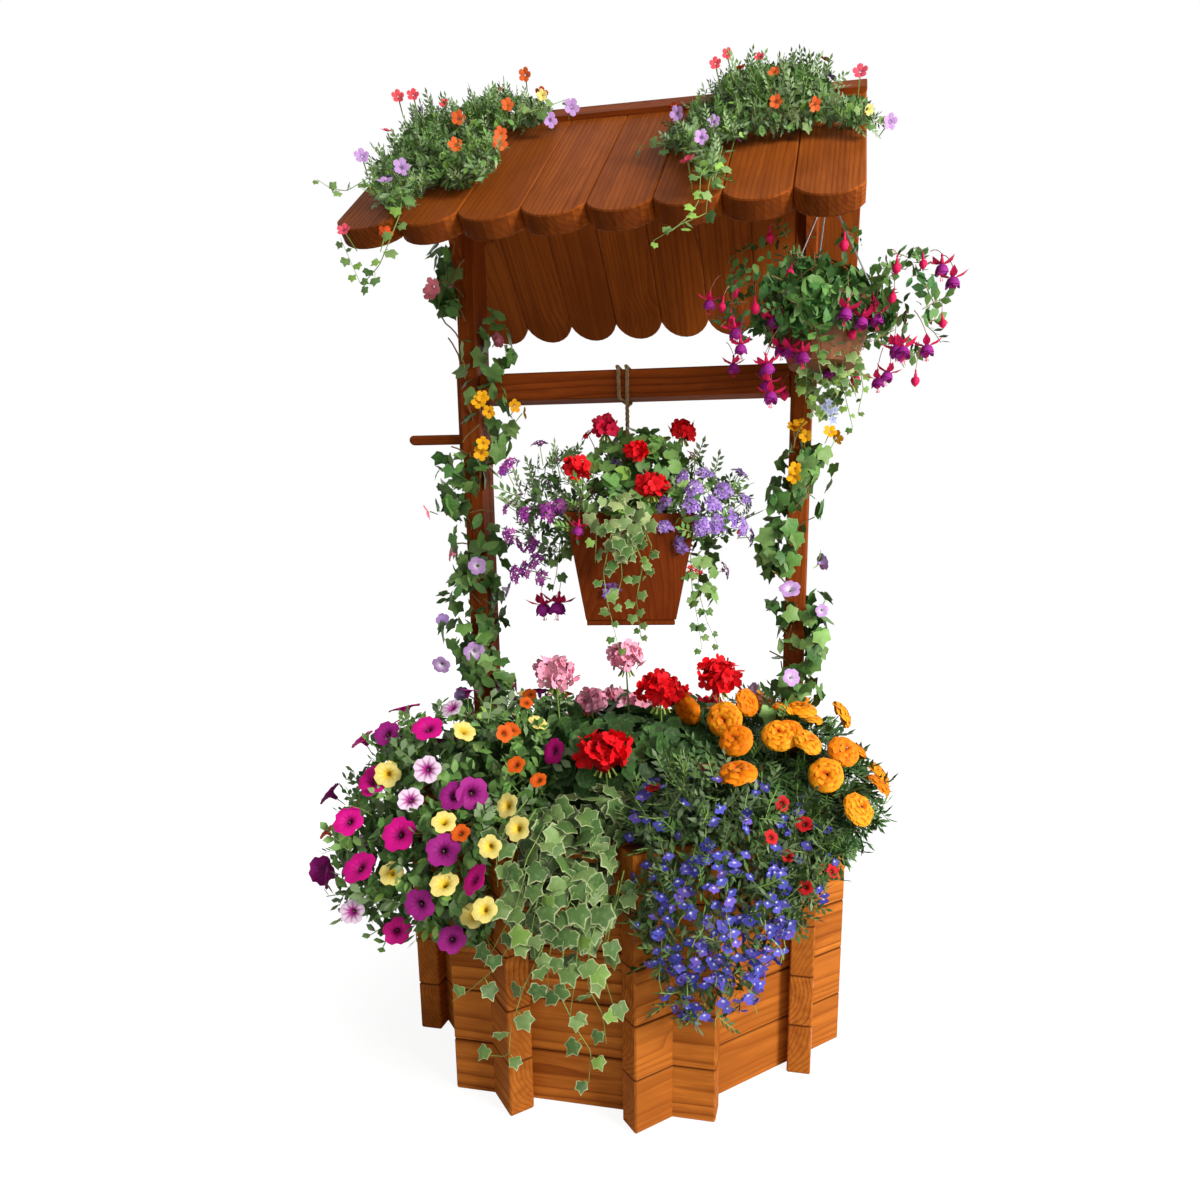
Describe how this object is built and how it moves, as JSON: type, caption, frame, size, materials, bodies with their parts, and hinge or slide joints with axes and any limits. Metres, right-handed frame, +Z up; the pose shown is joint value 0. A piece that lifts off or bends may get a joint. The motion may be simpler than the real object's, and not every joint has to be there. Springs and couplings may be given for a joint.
{
  "type": "wishing well planter",
  "caption": "Timber planter shaped like a wishing well: an eight-sided crib of crossed boards, a scalloped roof on posts, a winch with a roped pot, and a hanging basket, all in flower.",
  "frame": {"origin": "on the ground, at the centre of the eight-sided crib", "axes": "+Z up, -Y towards the front where the trailing flowers hang, +X to the viewer's right, where the basket hangs"},
  "size_m": [1.0292, 0.9155, 1.7449],
  "materials": {
    "crib_wood": "stained and oiled pine, satin",
    "roof_wood": "stained and oiled pine, satin, redder",
    "frame_wood": "stained and oiled pine, satin",
    "pot_wood": "stained pine, satin",
    "panel_wood": "bare sheet wood",
    "compost": "damp compost",
    "jute": "twisted jute",
    "steel": "bright wire",
    "brown_plastic": "matt terracotta brown",
    "leaf": "living leaves and small flowers",
    "petunia": "living leaves and magenta flowers",
    "variegated_ivy": "living cream-edged leaves",
    "geranium": "living leaves and red flower heads",
    "lobelia": "living leaves and blue flowers",
    "marigold": "living leaves and orange flowers",
    "fuchsia": "living leaves and pink flowers"
  },
  "bodies": {
    "well": {"wall_front": "crib_wood", "wall_front_right": "crib_wood", "wall_right": "crib_wood", "wall_back_right": "crib_wood", "wall_back": "crib_wood", "wall_back_left": "crib_wood", "wall_left": "crib_wood", "wall_front_left": "crib_wood", "floor_panel": "panel_wood", "soil": "compost", "post_left": "frame_wood", "post_right": "frame_wood", "gable_left": "frame_wood", "gable_right": "frame_wood", "ridge_beam": "frame_wood", "batten_front": "frame_wood", "batten_back": "frame_wood", "roof_board_front_1": "roof_wood", "roof_board_front_2": "roof_wood", "roof_board_front_3": "roof_wood", "roof_board_front_4": "roof_wood", "roof_board_front_5": "roof_wood", "roof_board_front_6": "roof_wood", "roof_board_front_7": "roof_wood", "roof_board_front_8": "roof_wood", "roof_board_back_1": "roof_wood", "roof_board_back_2": "roof_wood", "roof_board_back_3": "roof_wood", "roof_board_back_4": "roof_wood", "roof_board_back_5": "roof_wood", "roof_board_back_6": "roof_wood", "roof_board_back_7": "roof_wood", "roof_board_back_8": "roof_wood", "ridge_cap": "roof_wood", "roof_eye": "steel", "base_petunias": "petunia", "base_ivy": "variegated_ivy", "base_geraniums": "geranium", "base_lobelia": "lobelia", "base_marigolds": "marigold", "post_ivy_left": "leaf", "post_ivy_right": "leaf", "roof_plants_left": "leaf", "roof_plants_right": "leaf"},
    "winch": {"winch_beam": "frame_wood", "crank_arm": "frame_wood", "crank_handle": "frame_wood", "rope_winding": "jute"},
    "rope": {"rope_line": "jute"},
    "pot": {"rope_bail": "jute", "pot_side_front": "pot_wood", "pot_side_back": "pot_wood", "pot_side_left": "pot_wood", "pot_side_right": "pot_wood", "pot_base": "pot_wood", "pot_plants": "geranium"},
    "hook": {"basket_hook": "steel"},
    "basket": {"basket_hanger": "steel", "basket_pot": "brown_plastic", "basket_plants": "fuchsia"}
  },
  "joints": [
    {"name": "winch_turn", "type": "hinge", "parent": "well", "child": "winch", "pos_m": [0, 0, 1.228], "axis": [1, 0, 0], "range_deg": [-50, 35]},
    {"name": "pot_swing", "type": "hinge", "parent": "well", "child": "rope", "pos_m": [-0.003, -0.0293, 1.2277], "axis": [1, 0, 0], "range_deg": [-5, 5]},
    {"name": "pot_lift", "type": "slide", "parent": "rope", "child": "pot", "axis": [0, 0, 1], "range_m": [-0.02, 0.03], "deforming": ["rope_line"]},
    {"name": "hook_swing", "type": "hinge", "parent": "well", "child": "hook", "pos_m": [0.352, -0.147, 1.49673], "axis": [1, 0, 0], "range_deg": [-4, 2]},
    {"name": "basket_swing", "type": "hinge", "parent": "hook", "child": "basket", "pos_m": [0.352, -0.147, 1.48163], "axis": [0, 1, 0], "range_deg": [-8, 8]}
  ],
  "couplings": [
    {"joint": "winch_turn", "follows": "pot_lift", "rad_per_m": -27.7}
  ]
}
